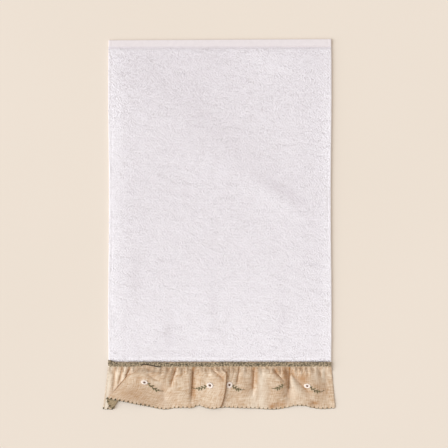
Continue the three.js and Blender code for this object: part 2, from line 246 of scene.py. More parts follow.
def thread(name, dark, light, grain):
    material, shader = new_material(name, roughness=0.7, sheen=0.2)
    place = add_node(material, "ShaderNodeTexCoord", {}).outputs["Object"]
    uneven = add_node(material, "ShaderNodeTexNoise", {"Vector": place, "Scale": 1 / grain, "Detail": 2})
    spread = add_node(material, "ShaderNodeMapRange", {
        "Value": uneven.outputs["Fac"], "From Min": 0.35, "From Max": 0.65})
    tone = add_node(material, "ShaderNodeMix", {
        FACTOR: spread.outputs["Result"], TONE_A: linear(dark), TONE_B: linear(light)}, data_type="RGBA")
    material.node_tree.links.new(tone.outputs[MIXED], shader.inputs["Base Color"])
    return material


braid_yarn = thread("taupe_gimp_yarn", "#4e4330", "#c6b294", 1.9 * MM)
dark_yarn = thread("dark_gimp_cord", "#43392a", "#8a7b62", 2.6 * MM)
# A near-black strand that only paints the shadow under the braid's pushed-up edge.
shadow_yarn = thread("painted_shadow_strand", "#2e2416", "#57462c", 2.6 * MM)
pale_yarn = thread("pale_gimp_loops", "#8a7859", "#dccba8", 1.9 * MM)
white_cotton = thread("white_sewing_cotton", "#ddd5d3", "#ebe4e2", 3 * MM)
petal_cotton = thread("cream_embroidery_cotton", "#f3e2d4", "#fff4ea", 1.2 * MM)
olive_thread = thread("olive_edging_thread", "#4d4229", "#7d6d4a", 3 * MM)
brown_thread = thread("brown_overlock_thread", "#c2a688", "#ead6bd", 3 * MM)
leaf_thread = thread("green_embroidery_thread", "#5f5836", "#9a9066", 1.5 * MM)
stem_thread = thread("dark_stem_thread", "#574a2e", "#796845", 2 * MM)
knot_thread = thread("plum_knot_thread", "#6a4638", "#946c56", 1 * MM)
print(len(bpy.data.materials), "materials so far")

# %% [markdown]
# ## Meshes from arrays
# Thousands of loops and stitches are too many to place by hand. A thread is a round section carried
# along a path, so one function skins any number of equal paths at once and closes both ends.
# Another function turns arrays of points and faces into a finished piece in the frame.

# %% Pieces


def new_piece(name, points, faces, materials, slot):
    mesh = bpy.data.meshes.new(name)
    mesh.from_pydata(in_frame(points).tolist(), [], [list(face) for face in faces])
    mesh.validate()
    piece = bpy.data.objects.new(name, mesh)
    bpy.context.collection.objects.link(piece)
    for material in materials:
        mesh.materials.append(material)
    mesh.shade_smooth()
    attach(piece, "root")
    return piece


def triangles(piece):
    return sum(len(face.vertices) - 2 for face in piece.data.polygons)


# %% Threads along paths
# Not quite straight up, so that no path runs exactly along it.
NEARLY_UP = [0.02, 0.01, 1.0]
TINY = 1e-12


def skin(paths, radius, sides=5):
    """Closed tubes along paths of shape (threads, steps, 3): points and faces."""
    paths = np.asarray(paths, dtype=float)
    threads, steps, _ = paths.shape
    radius = np.broadcast_to(radius, (threads, steps))[..., None, None]
    ahead = np.gradient(paths, axis=1)
    ahead /= np.linalg.norm(ahead, axis=2, keepdims=True) + TINY
    across = np.cross(ahead, NEARLY_UP)
    across /= np.linalg.norm(across, axis=2, keepdims=True) + TINY
    upward = np.cross(across, ahead)
    turn = np.arange(sides) * 2 * math.pi / sides
    ring = np.cos(turn)[:, None] * across[:, :, None] - np.sin(turn)[:, None] * upward[:, :, None]
    points = (paths[:, :, None] + radius * ring).reshape(-1, 3)
    grid = np.arange(threads * steps * sides).reshape(threads, steps, sides)
    beside = np.roll(grid, -1, axis=2)
    walls = np.stack([grid[:, :-1], grid[:, 1:], beside[:, 1:], beside[:, :-1]], axis=-1).reshape(-1, 4)
    ends = [grid[:, 0], grid[:, -1, ::-1]]
    return points, walls.tolist() + [face for end in ends for face in end.tolist()]


def together(parts):
    """Several sets of points and faces as one."""
    points, faces, count = [], [], 0
    for some_points, some_faces in parts:
        points.append(some_points)
        faces += [[number + count for number in face] for face in some_faces]
        count += len(some_points)
    return np.concatenate(points), faces


# %% [markdown]
# ## The terry panel
# The ground cloth carries the loops. It is hemmed along both sides and across the top, where the
# cloth is turned over and stitched down, and it runs bare and thin under the braid. Each of these
# forms has a height at every place, and the cloth takes the lowest of them.

# %% Hems
# Heights of the ground cloth and of its end that is sewn flat under the braid.
GROUND = 2.9
SEWN = 1.4
# The sewn end stops here, and the cloth rises over the slope beyond it.
SEAM_END = 6.6
SEAM_SLOPE = 2.5
# Widths of the hems, the line of the top hem's stitching, and the slope inside each hem.
SIDE_HEM = 4
TOP_HEM = 10.5
HEM_LINE = TERRY_LENGTH - TOP_HEM
HEM_SLOPE = 2.5
# Height of the turned edge and the width of its rounding.
EDGE = 0.8
ROUND = 0.8
# Share of the hem's width where it starts to sink towards its stitching.
SINKING = 0.85
# Height over the turned cloth and along its stitching.
TOP_HEIGHTS = (3.2, 1.5)
SIDE_HEIGHTS = (2.9, 2.8)


def hem_height(inset, wide, heights, inside):
    thick, stitched = heights
    share = np.clip(inset / ROUND, 0, 1)
    rounded = mix(EDGE, thick, np.sqrt(share * (2 - share)))
    turned = rounded - (thick - stitched) * smooth(inset, wide * SINKING, wide)
    beyond = mix(stitched, inside, smooth(inset, wide, wide + HEM_SLOPE))
    return np.where(inset > wide, beyond, turned)


def panel_height(x, y, inside, side_heights, seam_slope):
    side = hem_height(HALF_WIDTH - np.abs(x), SIDE_HEM, side_heights, inside)
    top = hem_height(TERRY_LENGTH - y, TOP_HEM, TOP_HEIGHTS, inside)
    sewn = mix(SEWN, inside, smooth(y, SEAM_END, SEAM_END + seam_slope))
    return np.minimum(np.minimum(side, top), sewn)


# %% [markdown]
# A washed towel is never quite flat, so a few long swells lift the cloth. Its nap also lies one way here
# and another way there, which shows as paler and darker areas in long strokes. The same list paints light
# and shade into the colour: painted shade in the top hem's stitched groove, along the very left edge and in
# a slanting band, and painted light on the rounded side edges and just above the braid. Both are lists of
# soft oval patches, each with its place, size and turn.

# %% Swells, nap and painted light and shade
SWELLS = [
    # x, y, long, wide, turn, rise
    (-60, 330, 120, 34, 0.25, 0.35),
    (70, 250, 110, 30, -0.35, 0.4),
    (-80, 150, 90, 40, 0.15, 0.3),
    (40, 90, 140, 30, -0.1, 0.35),
    (95, 380, 70, 28, 0.5, 0.3),
]
NAP_AND_SHADING = [
    # x, y, long, wide, turn, how much lighter
    # Painted shade: a slanting band, as on a slope facing away from the light.
    (-10, 325, 130, 24, -0.71, -0.18),
    (86, 236, 34, 8, -0.6, -0.3),
    (0, 410, 220, 60, 0, -0.14),
    # Painted shade in the stitched groove of the top hem.
    (0, 429.5, 400, 1.4, 0, -0.9),
    (66, 405, 40, 20, -0.3, 0.2),
    (68, 222, 45, 11, -0.6, 0.2),
    (0, 0, 260, 130, 0, 0.25),
    # Painted light on the rounded side edges, and painted shade along the very left edge.
    (-144, 220, 14, 280, 0, 0.35),
    (-151, 220, 2, 600, 0, -0.5),
    (148, 220, 9, 280, 0, 0.35),
    # Painted light on the pile just above the braid.
    (0, 9.5, 400, 2.2, 0, 0.5),
    (-112, 120, 7, 26, 0, -0.16),
    (-70, 45, 8, 22, 0, -0.3),
    (-7, 75, 6, 25, 0, -0.2),
    (84, 70, 8, 30, 0, -0.16),
]
NAP_AND_SHADING_BASE = 0.25


def patches(table, x, y):
    total = np.zeros(np.broadcast(x, y).shape)
    for at_x, at_y, long, wide, turn, amount in table:
        along = (x - at_x) * math.cos(turn) + (y - at_y) * math.sin(turn)
        aside = (y - at_y) * math.cos(turn) - (x - at_x) * math.sin(turn)
        total = total + amount * bell(along, long) * bell(aside, wide)
    return total


def ground_height(x, y):
    return panel_height(x, y, GROUND + patches(SWELLS, x, y), SIDE_HEIGHTS, SEAM_SLOPE)


# The nap and the painted light and shade go into one attribute of the piece.
def paint_nap_and_shading(piece, points):
    lighter = piece.data.attributes.new("nap_and_shading", "FLOAT", "POINT")
    lighter.data.foreach_set("value", NAP_AND_SHADING_BASE + patches(NAP_AND_SHADING, points[:, 0], points[:, 1]))


print(len(SWELLS), "swells and", len(NAP_AND_SHADING), "strokes of nap")

# %% [markdown]
# The panel isn't a true rectangle. Its sides wander by half a millimetre, and its top hem climbs a
# little to the right. One function moves every point of the panel in that way. The sheet is a grid of
# points, closer together over the hems, with a second grid below it and a rim that joins the two.

# %% Outline and closed sheet
WANDER = 0.5
WANDER_LENGTH = 300
TILT = 1.6


def on_panel(x, y, z):
    wander = WANDER * np.sin(2 * math.pi * y / WANDER_LENGTH) * (2 * x / TOWEL_WIDTH) ** 3
    tilt = TILT * x * (y / TERRY_LENGTH) ** 4 / TOWEL_WIDTH
    return np.stack([x + wander, y + tilt, z], axis=-1)


def closed_sheet(face, back):
    rows, columns = face.shape[:2]
    grid = np.arange(rows * columns).reshape(rows, columns)
    top = np.stack([grid[:-1, :-1], grid[:-1, 1:], grid[1:, 1:], grid[1:, :-1]], axis=-1).reshape(-1, 4)
    rim = np.concatenate([grid[0, :-1], grid[:-1, -1], grid[-1, :0:-1], grid[:0:-1, 0]])
    after = np.roll(rim, -1)
    count = rows * columns
    sides = np.stack([rim, rim + count, after + count, after], axis=-1)
    faces = np.concatenate([top, top[:, ::-1] + count, sides])
    return np.concatenate([face.reshape(-1, 3), back.reshape(-1, 3)]), faces.tolist()


# %% Ground cloth
# Distances in from the edge, for the grid lines over a side hem and over the top hem.
SIDE_STEPS = [0, 0.2, 0.5, 1, 1.7, 2.4, 3.1, 3.4, 3.7, 4, 4.6, 5.2, 5.9, 6.5]
TOP_STEPS = [0, 0.2, 0.5, 1.2, 2.2, 3.6, 5, 6.3, 7.6, 8.9, 9.4, 9.9, 10.5, 11.1, 11.8, 12.5, 13]
UNDERCUT = 0.8
BARE_FROM = HEM_LINE + 0.4
between = np.linspace(SIDE_STEPS[-1], TOWEL_WIDTH - SIDE_STEPS[-1], 72)
x_lines = np.concatenate([SIDE_STEPS[:-1], between, TOWEL_WIDTH - np.array(SIDE_STEPS[-2::-1])])
x_lines -= HALF_WIDTH
seam_lines = np.linspace(0, 11, 12)
pile_lines = np.linspace(14, 425, 104)
y_lines = np.concatenate([seam_lines, pile_lines, TERRY_LENGTH - np.array(TOP_STEPS[::-1])])
sheet_x, sheet_y = np.meshgrid(x_lines, y_lines)
under_x = sheet_x * (1 - 2 * UNDERCUT / TOWEL_WIDTH)
under_y = sheet_y * (1 - UNDERCUT / TERRY_LENGTH)
points, faces = closed_sheet(
    on_panel(sheet_x, sheet_y, ground_height(sheet_x, sheet_y)), on_panel(under_x, under_y, 0 * sheet_x))
terry_cloth = new_piece("terry_cloth", points, faces, [terry_cotton, flat_cotton], "terry")
paint_nap_and_shading(terry_cloth, points)
bare = [int(points[face, 1].min() > BARE_FROM) for face in faces]
terry_cloth.data.polygons.foreach_set("material_index", bare)
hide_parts("terry_panel")
print("terry_cloth", triangles(terry_cloth), "triangles")

# %% [markdown]
# ## Pile
# Terry is a cloth of uncut loops, a millimetre or two high. Each leans its own way, because washing
# and drying ruffle it. Bump in a material would leave the towel's edge flat in a side view, so the
# loops are real: short arches of yarn, drawn thicker and farther apart than true ones, which would be
# too many. Their places come first: rows, every second one shifted by half a step, each loop a bit off.

# %% Places of the loops
PILE_PITCH = 2.08
FIRST_LOOP = (0.9, 0.6)
PILE_MARGIN = 0.7
OFF_PLACE = 0.28
random = np.random.default_rng(7)
loop_x, loop_y = np.meshgrid(
    np.arange(-HALF_WIDTH + FIRST_LOOP[0], HALF_WIDTH - PILE_MARGIN, PILE_PITCH),
    np.arange(SEAM_END + FIRST_LOOP[1], HEM_LINE - PILE_MARGIN, PILE_PITCH))
shifted = np.arange(len(loop_x)) % 2
loop_x = (loop_x + shifted[:, None] * PILE_PITCH / 2).ravel()
on_cloth = np.abs(loop_x) < HALF_WIDTH - PILE_MARGIN
loop_x, loop_y = loop_x[on_cloth], loop_y.ravel()[on_cloth]
count = len(loop_x)
loop_x = loop_x + random.normal(0, OFF_PLACE, count)
loop_y = loop_y + random.normal(0, OFF_PLACE, count)
print(count, "loops")

# %% [markdown]
# The loops' tops follow the cloth, but not evenly. Faint ripples run across the pile, and two dozen
# slanted waves added together look like them. A line where the towel was folded and pressed crosses
# it above the middle. Every loop also has a little height of its own.

# %% Height of the loops
PILE_TOP = 3.6
PILE_SIDES = (3.6, 3.55)
PILE_SLOPE = 0.6
ROOT_DEPTH = 0.4
LEAST_RISE = 0.9
RIPPLES, RIPPLE_RISE = 24, 0.042
RIPPLE_WAY = (1.4, 0.25)
RIPPLE_LENGTH = (5, 18)
PRESSED_LINE, PRESSED_DEPTH, PRESSED_WIDTH = 274.7, 0.4, 1.6
# A path runs inside its yarn, so it lies this far below the loop's top.
YARN_TOP = 0.35
pile_top = PILE_TOP + patches(SWELLS, loop_x, loop_y)
loop_top = panel_height(loop_x, loop_y, pile_top, PILE_SIDES, PILE_SLOPE)
loop_root = ground_height(loop_x, loop_y) - ROOT_DEPTH
ripples = np.zeros(count)
for ripple in range(RIPPLES):
    way, length = random.normal(*RIPPLE_WAY), random.uniform(*RIPPLE_LENGTH)
    phase = (loop_x * math.cos(way) + loop_y * math.sin(way)) * 2 * math.pi / length
    ripples += np.sin(phase + random.uniform(0, 6.3))
pressed_line = PRESSED_DEPTH * bell(loop_y - PRESSED_LINE, PRESSED_WIDTH)
loop_top = loop_top * random.uniform(0.9, 0.97, count) + RIPPLE_RISE * ripples - pressed_line
loop_top = np.maximum(loop_top, loop_root + LEAST_RISE) - YARN_TOP
print("loops rise", round(float((loop_top - loop_root).mean()), 2), "mm from their roots")

# %% [markdown]
# Each loop is an arch of four points, with its own facing, span and lean. Baking colours into pictures
# needs a map of each piece. Unwrapping so many small strips would take very long, so every loop gets its
# own square of the map by plain arithmetic.

# %% Arches and their map
LOOP_ARCH = ((-1, 0), (-0.75, 0.8), (0.75, 1), (1, 0))
END_CORNERS = np.array([[0.02, 0.91], [0.05, 0.99], [0.09, 0.91]])
OTHER_END = np.array([0.5, 0])
facing = random.normal(-0.15, 0.6, count)
span = random.uniform(0.55, 0.85, count)
lean_x, lean_y = random.normal(0, 0.4, (2, count))
arches = []
for way, lift in LOOP_ARCH:
    x = loop_x + way * span * np.cos(facing) + lean_x * lift
    y = loop_y + way * span * np.sin(facing) + lean_y * lift
    arches.append(on_panel(x, y, mix(loop_root, loop_top, lift)))
arches = np.stack(arches, axis=1)


def loop_squares(loops, steps, sides):
    """Map corners of skinned loops: the walls fill most of a square, the ends its upper margin."""
    across = math.ceil(math.sqrt(loops))
    number = np.arange(loops)
    squares = np.stack([number % across, number // across], axis=-1) / across
    corners = []
    for step, side in ((0, 0), (1, 0), (1, 1), (0, 1)):
        along = (np.arange(steps - 1) + step + 0.5) / (steps + 1)
        around = (np.arange(sides) + side) / sides * 0.8 + 0.1
        corners.append(np.stack(np.meshgrid(along, around, indexing="ij"), axis=-1).reshape(-1, 2))
    walls = squares[:, None, None] + np.stack(corners, axis=1) * 0.9 / across
    ends = squares[:, None] + END_CORNERS / across
    return np.concatenate([walls.ravel(), ends.ravel(), (ends + OTHER_END / across).ravel()])


# %% [markdown]
# The pile is split into three pieces, so that each stays light enough to be stored whole. Three sides
# are enough for a yarn that is narrower than a point of the picture.

# %% Pile pieces
PILE_PIECES = 3
LOOP_SIDES = 3
LOOP_RADIUS = 0.56
pile = []
for number, loops in enumerate(np.array_split(arches, PILE_PIECES), start=1):
    points, faces = skin(loops, LOOP_RADIUS, sides=LOOP_SIDES)
    piece = new_piece(f"terry_pile_{number}", points, faces, [terry_cotton], "terry")
    paint_nap_and_shading(piece, points)
    bake_map = piece.data.uv_layers.new(name="OFBake")
    bake_map.data.foreach_set("uv", loop_squares(len(loops), len(LOOP_ARCH), LOOP_SIDES))
    pile.append(piece)
    print(piece.name, len(loops), "loops,", triangles(piece), "triangles")

# %% [markdown]
# ## Hem stitches
# A lockstitch shows as a row of short dashes that dip into the cloth at both ends. The row along the
# top hem lies bare. Those of the side hems are covered by loops, so they aren't made. Each dash is a
# bent path, and the whole row is skinned at once.

# %% Top hem stitches
STITCH = 3.2
STITCH_RADIUS = 0.25
# Share of the stitch's length, height over the cloth.
STITCH_PATH = ((0.04, -0.35), (0.25, 0.15), (0.55, 0.2), (0.8, 0.15), (0.96, -0.35))
row_length = TOWEL_WIDTH - 2 * SIDE_HEM
stitches = int(row_length / STITCH)
dashes = []
for share, lift in STITCH_PATH:
    x = row_length * (np.arange(stitches) / stitches + share / stitches) - row_length / 2
    dashes.append(on_panel(x, HEM_LINE, ground_height(x, HEM_LINE) + lift))
points, faces = skin(np.stack(dashes, axis=1), STITCH_RADIUS)
hem_stitches = new_piece("hem_stitches", points, faces, [white_cotton], "terry")
print("hem_stitches", stitches, "stitches,", triangles(hem_stitches), "triangles")

# %% [markdown]
# ## The frill's folds
# Gathered cloth is a flat strip pushed together along one edge. Each place on the strip has a
# distance across, x, and a share of the way from the braid down to the hem. The functions below
# say where that place lies: puffed up under the braid, sunk in the troughs, lapped at two folds.
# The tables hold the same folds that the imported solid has.

# %% Fold tables
HEADING = 6.8
DEPTH = 55.2
TROUGHS = [
    # x, drift, from, to, left, right, deep
    (-142, -2, 0, 0.6, 2, 4.5, 3),
    (-132.5, -4, 0, 0.5, 2, 4.5, 3.2),
    (-122, -5, 0, 0.3, 2.6, 3.4, 4.4),
    (-98, 4, 0, 0.14, 3, 13, 2.6),
    (-92, 14, 0.14, 0.42, 4, 5, 2),
    (-76, 4, 0.4, 1.3, 34, 12, 3),
    (-59.5, -7, 0, 0.55, 5, 2.6, 4.4),
    (-36.5, -2.5, 0, 1, 2.6, 7, 5.2),
    (-11, 10.5, 0.02, 0.34, 4, 2.6, 2.8),
    (25.5, -3, 0, 0.5, 2.6, 2.2, 3.6),
    (46, -2, 0, 0.8, 7, 2.6, 4.8),
    (73, 14, 0.02, 0.42, 3, 2.6, 3.2),
    (94, -3, 0, 1, 6.5, 2.2, 6.5),
    (97, 27, 0.1, 0.85, 5.5, 14, 4),
    (134.5, 1, 0, 0.3, 2.4, 2.4, 2.4),
]
# A crest starts at x and drifts towards the hem. Its fold is formed by a share of the depth, takes up
# a tuck of cloth, eases back over the open stretch, and draws the hem up by its pull.
LAPPED_FOLDS = [
    dict(toward=-1, x=-104.5, drift=-33, late=0.75, formed=0.22,
         tuck=6, open=62, radius=1.15, lap=(0, 7), pull=15),
    dict(toward=1, x=2.5, drift=-9, late=2, formed=0.15,
         tuck=4, open=24, radius=0.9, lap=(1.5, 3), pull=0),
]
print(len(TROUGHS), "troughs and", len(LAPPED_FOLDS), "lapped folds")

# %% [markdown]
# A trough fades in at its upper end, drifts sideways on its way down and fades out again. Crisp linen
# doesn't sink in a round valley, so the section is a blend of a soft bell and a sharp crease.

# %% Troughs
FADE_IN = 0.06
FADE_OUT = 0.6
CREASED = 0.6
CREASE_WIDTH = 0.55


def trough_depth(row, x, share):
    at, drift, start, end, left, right, deep = row
    offset = x - at - drift * smooth(share, start, end)
    shown = smooth(share, start - FADE_IN, start + FADE_IN) * (1 - smooth(share, end * FADE_OUT, end))
    wide = np.where(offset < 0, left, right)
    sharp = np.exp(-np.abs(offset) / (CREASE_WIDTH * wide))
    return deep * shown * mix(bell(offset, wide), sharp, CREASED)


# %% [markdown]
# A lapped fold turns over once and back again, like a flattened S. Walking along its section, the
# first bend, the flat lap and the second bend follow each other, so the section is worked out from
# the length walked. Cloth beyond the fold eases back into place over a long way.

# %% Lapped folds
TUG_EASE = 1.5


def arch(share):
    return np.where(np.abs(share) < 1, (1 + np.cos(math.pi * np.clip(share, -1, 1))) / 2, 0)


def crest_line(fold, share):
    return fold["x"] + fold["drift"] * share ** fold["late"]


def tuck_section(way, angle, radius, lap):
    bend = radius * angle
    along = way * (2 * bend + lap)
    first = np.minimum(along, bend) / radius
    flat = np.clip(along - bend, 0, lap)
    second = angle - np.maximum(0, along - bend - lap) / radius
    inward = radius * (np.sin(first) + np.sin(angle) - np.sin(second)) + flat * np.cos(angle)
    upward = radius * (1 - np.cos(first) + np.cos(second) - np.cos(angle)) + flat * np.sin(angle)
    return inward, upward


def fold_shift(fold, x, share):
    out = (x - crest_line(fold, share)) * fold["toward"]
    inside = (out <= fold["tuck"]) & (out >= -fold["open"])
    formed = smooth(share, 0, fold["formed"])
    way = np.where(out < 0, 1, 1 - np.clip(out, 0, fold["tuck"]) / fold["tuck"])
    inward, upward = tuck_section(way, math.pi * formed, fold["radius"], mix(*fold["lap"], share))
    eased = np.where(out < 0, arch(out / fold["open"]), 1) * inside
    sideways = fold["toward"] * formed * (fold["tuck"] * way - inward)
    slack = np.clip(1 + out / fold["open"], 0, 1) ** TUG_EASE
    tug = np.where(out < 0, slack, smooth(way, 0.5, 1)) * inside
    pulled = fold["pull"] * share ** 2 * tug
    return np.stack([sideways * eased, pulled, upward * formed * eased], axis=-1)


# %% [markdown]
# The solid keeps to the main folds. The thin cloth also has the small ones: tight puckers where the
# gathering thread pulls, and a few soft creases that the eye finds first. Each crease has its own
# place, width and depth. Right of the first fold the cloth is pulled smooth, and its puckers are shallow.

# %% Creases and puckers
CREASES = [
    # x, drift, from, to, wide, deep
    (-101, -12, 0.2, 0.7, 5, 0.7),
    (-70, -3, 0.02, 0.5, 2.2, 0.8),
    (-51, 1, 0.0, 0.3, 1.8, 0.7),
    (-45, 2, 0.3, 0.9, 5, 0.6),
    (-28, -2, 0.05, 0.45, 2.6, 0.8),
    (-19, 3, 0.0, 0.3, 2.2, 0.9),
    (13, -2, 0.0, 0.4, 1.8, 0.9),
    (19, -2, 0.0, 0.35, 1.4, 0.9),
    (34, 3, 0.1, 0.6, 4, 0.7),
    (58, -2, 0.0, 0.3, 2, 0.9),
    (66, 2, 0.4, 1.0, 6, 0.7),
    (78, 2, 0.86, 1.3, 4.5, 1.4),
    (99, -3, 0.0, 0.2, 1.8, 1.2),
    (109, -4, 0.0, 0.24, 1.8, 1.3),
    (116, -4, 0.0, 0.24, 1.8, 1.2),
    (126, 2, 0.82, 1.3, 4, 1.3),
    (142, 2, 0.1, 0.7, 3.5, 0.9),
]
PUCKER_ENDS = (-148, 148)
PUCKER_PITCH = (3.4, 5.6)
PULLED_SMOOTH = (-106, -80)
puckers = []
at = PUCKER_ENDS[0]
while at < PUCKER_ENDS[1]:
    at += random.uniform(*PUCKER_PITCH)
    drift, end = random.normal(0, 1.2), random.uniform(0.07, 0.27)
    wide, deep = random.uniform(0.9, 1.5), random.uniform(0.5, 1.5)
    if PULLED_SMOOTH[0] < at < PULLED_SMOOTH[1]:
        deep *= 0.25
    puckers.append((at, drift, 0, end, wide, deep))
small_folds = [(at, drift, start, end, wide, wide, deep)
               for at, drift, start, end, wide, deep in CREASES + puckers]
RUFFLE = 0.35


def small_creases(x, share):
    total = np.zeros(np.broadcast(x, share).shape)
    for row in small_folds:
        total += trough_depth(row, x, share)
    ruffle = np.sin(x / 4.1 + 5 * share) * np.sin(x / 9.7 - 7 * share + 1) * np.sin(9 * share + x / 23)
    return total - RUFFLE * ruffle * smooth(share, 0.05, 0.3)


print(len(CREASES), "creases and", len(puckers), "puckers")

# %% [markdown]
# The gathering thread draws the strip into regular gathers, deeper in some places than in others.
# They are low under the braid, stand up just below it and are gone by a quarter of the depth.

# %% Gathers
GATHER_PITCH = 8.1
GATHER_DRIFT = 107
GATHER_SWELL = 82
HEADING_RISE = 0.25
GATHER_RISE = 1.1
FREED = (0, 0.1)


def gathers(x, share):
    gather = np.sin(2 * math.pi * x / GATHER_PITCH + 2 * np.sin(2 * math.pi * x / GATHER_DRIFT))
    uneven = mix(0.2, 1, (1 + np.sin(2 * math.pi * x / GATHER_SWELL)) / 2)
    heading = HEADING_RISE * (1 + gather) * (1 - smooth(share, *FREED))
    below = GATHER_RISE * gather * uneven * smooth(share, 0, 0.05) * (1 - smooth(share, 0.05, 0.24))
    return heading + below


# %% [markdown]
# Near the first fold the cloth is pressed flat, so that the lap can lie over it. The stretch left of
# the flap still puffs up near the braid and lies flat lower down. The flap was pulled up, so its edge
# on the left has to be traced back to the place on the strip that it came from.

# %% Pressed cloth


def flap_reach(share):
    """Where the first fold's flap ends on the left: the pull has carried it up from farther down."""
    fold = LAPPED_FOLDS[0]
    bend = fold["pull"] / DEPTH
    start = (1 - np.sqrt(np.maximum(0, 1 - 4 * bend * share))) / (2 * bend)
    return crest_line(fold, start) - fold["tuck"] - mix(*fold["lap"], start)


def pressed_flat(x, share):
    """How flat the cloth is pressed around the first fold, from 0 to 1."""
    from_fold = x - crest_line(LAPPED_FOLDS[0], share)
    strip = mix(0.15, 1, smooth(share, 0.35, 0.7))
    beside = mix(1, strip, smooth(flap_reach(share) - x, 0.5, 3))
    return smooth(share, 0.08, 0.36) * (1 - smooth(from_fold, -5, 56)) * beside


# %% [markdown]
# Now the heights come together. The cloth puffs up below the braid and sinks again towards the hem. It
# hardly rises at the two ends of the strip. Beside the first fold it has a low crown, its hem arches
# off the table where it is drawn up, and the troughs and creases are taken away from all that.

# %% Rise of the cloth
PUFF = 6.6
PUFF_UP, PUFF_DOWN = (0, 0.16), (0.45, 1.05)
PUFF_PRESSED = 0.12
LEFT_END, LEFT_PUFF = (-150, -124), 0.2
RIGHT_END, RIGHT_PUFF = (120, 148), 0.04
CROWN = 0.8
HEM_ARCH = 1.6
CREASES_PRESSED = 0.6


def cloth_rise(x, share, wave):
    pressed = pressed_flat(x, share)
    ended = mix(1, RIGHT_PUFF, smooth(x, *RIGHT_END)) * mix(LEFT_PUFF, 1, smooth(x, *LEFT_END))
    puff = PUFF * smooth(share, *PUFF_UP) * (1 - smooth(share, *PUFF_DOWN))
    puff = puff * mix(1, PUFF_PRESSED, pressed) * ended
    from_fold = x - crest_line(LAPPED_FOLDS[0], share)
    crown = CROWN * smooth(from_fold, 0, 14) * (1 - smooth(from_fold, 14, 36))
    crown *= smooth(share, 0.1, 0.35) * (1 - smooth(share, 0.75, 1))
    hem = HEM_ARCH * ((1 - wave) / 2) * smooth(share, 0.5, 1)
    troughs = sum(trough_depth(row, x, share) for row in TROUGHS)
    small = small_creases(x, share) * (1 - CREASES_PRESSED * pressed) * smooth(share, 0, 0.035)
    return gathers(x, share) + puff + crown + hem - troughs * smooth(share, *FREED) - small


# %% [markdown]
# The last function says where each place of the strip lies. The cloth lies on the terry under the
# braid, drops to the table below it and rises from there. Its hem swings in a long wave, and a few
# stretches of it are drawn up or let down besides, because gathered cloth never hangs evenly.

# %% Where the cloth lies
CLOTH = 0.6
ON_TERRY = SEWN + 0.8
ON_TABLE = CLOTH / 2 + 0.1
FREE_EDGE = -0.3
DROP = (2, 9)
HEM_SWING = 1.6
HEM_WAVE = 71.5
HEM_WAVE_START = -73
HEM_LIFTS = [
    # x, wide, rise
    (-141.2, 2.4, 2.6),
    (-108, 10, -0.9),
    (-62, 8, 1),
    (-39, 6, -1.2),
    (-28.5, 6, 2.6),
    (-6.5, 5, 2.2),
    (6, 11, 2.2),
    (37, 13, -1.3),
    (107, 16, 2.4),
    (150, 18, 1),
]


def cloth_seat(y):
    return mix(ON_TERRY, ON_TABLE, smooth(-y, *DROP))


def on_frill(x, down):
    share = np.maximum(0, (down - HEADING) / DEPTH)
    wave = np.cos(2 * math.pi * (x - HEM_WAVE_START) / HEM_WAVE)
    lifted = sum(rise * bell(x - at, wide) for at, wide, rise in HEM_LIFTS)
    y = FREE_EDGE + HEADING - down - HEM_SWING * wave * share + lifted * share ** 4
    point = np.stack(np.broadcast_arrays(x, y, 0.0), axis=-1)
    for fold in LAPPED_FOLDS:
        point = point + fold_shift(fold, x, share)
    point[..., 2] = cloth_seat(point[..., 1]) + np.maximum(0, point[..., 2] + cloth_rise(x, share, wave))
    return point


# %% [markdown]
# ## The frill cloth
# The grid's columns follow the folds, so that no fold runs across the faces at a slant. They stand
# closest in the two tucks. The first six troughs lie around the flap and would cross its crest, so
# they have no columns of their own.

# %% Frill grid
HEM_FLARE = (7, 5)
GUIDE_TROUGHS = TROUGHS[6:]
GUIDE_GAP = 2.1
COLUMN = 0.85
TUCK_COLUMNS = 26
HEADING_ROWS, ROWS, ROW_EASE = 4, 86, 1.15


def guide_lines(share):
    lines = [-HALF_WIDTH - HEM_FLARE[0] * share, HALF_WIDTH + HEM_FLARE[1] * share]
    for fold in LAPPED_FOLDS:
        crest_at = crest_line(fold, share)
        lines += [crest_at, crest_at + fold["toward"] * fold["tuck"]]
    lines += [at + drift * smooth(share, start, end) for at, drift, start, end, *_ in GUIDE_TROUGHS]
    lines = np.stack(lines, axis=-1)
    lines = lines[:, np.argsort(lines[0])]
    for i in range(lines.shape[1] - 2, -1, -1):
        lines[:, i] = np.minimum(lines[:, i], lines[:, i + 1] - GUIDE_GAP)
    return lines


downs = np.concatenate([
    np.linspace(0, HEADING, HEADING_ROWS + 1)[:-1], HEADING + DEPTH * np.linspace(0, 1, ROWS) ** ROW_EASE])
guides = guide_lines(np.maximum(0, (downs - HEADING) / DEPTH))
tucks = [fold["x"] + min(0, fold["toward"] * fold["tuck"]) for fold in LAPPED_FOLDS]
columns = []
for i, wide in enumerate(np.diff(guides[0])):
    tucked = any(abs(guides[0, i] - tuck) < 0.01 for tuck in tucks)
    number = TUCK_COLUMNS if tucked else max(4, math.ceil(wide / COLUMN))
    columns.append(guides[:, [i]] + (guides[:, [i + 1]] - guides[:, [i]]) * np.arange(number) / number)
sheet_x = np.concatenate(columns + [guides[:, -1:]], axis=1)
sheet_down = np.repeat(downs[:, None], sheet_x.shape[1], axis=1)
print("frill grid", sheet_x.shape)

# %% [markdown]
# Along the hem the edging pulls the cloth into small scallops. They are spaced by the length of the
# cloth, so the sheet is laid once without them, measured and laid again. The weave map counts
# millimetres along the cloth both ways, so the threads follow every fold.

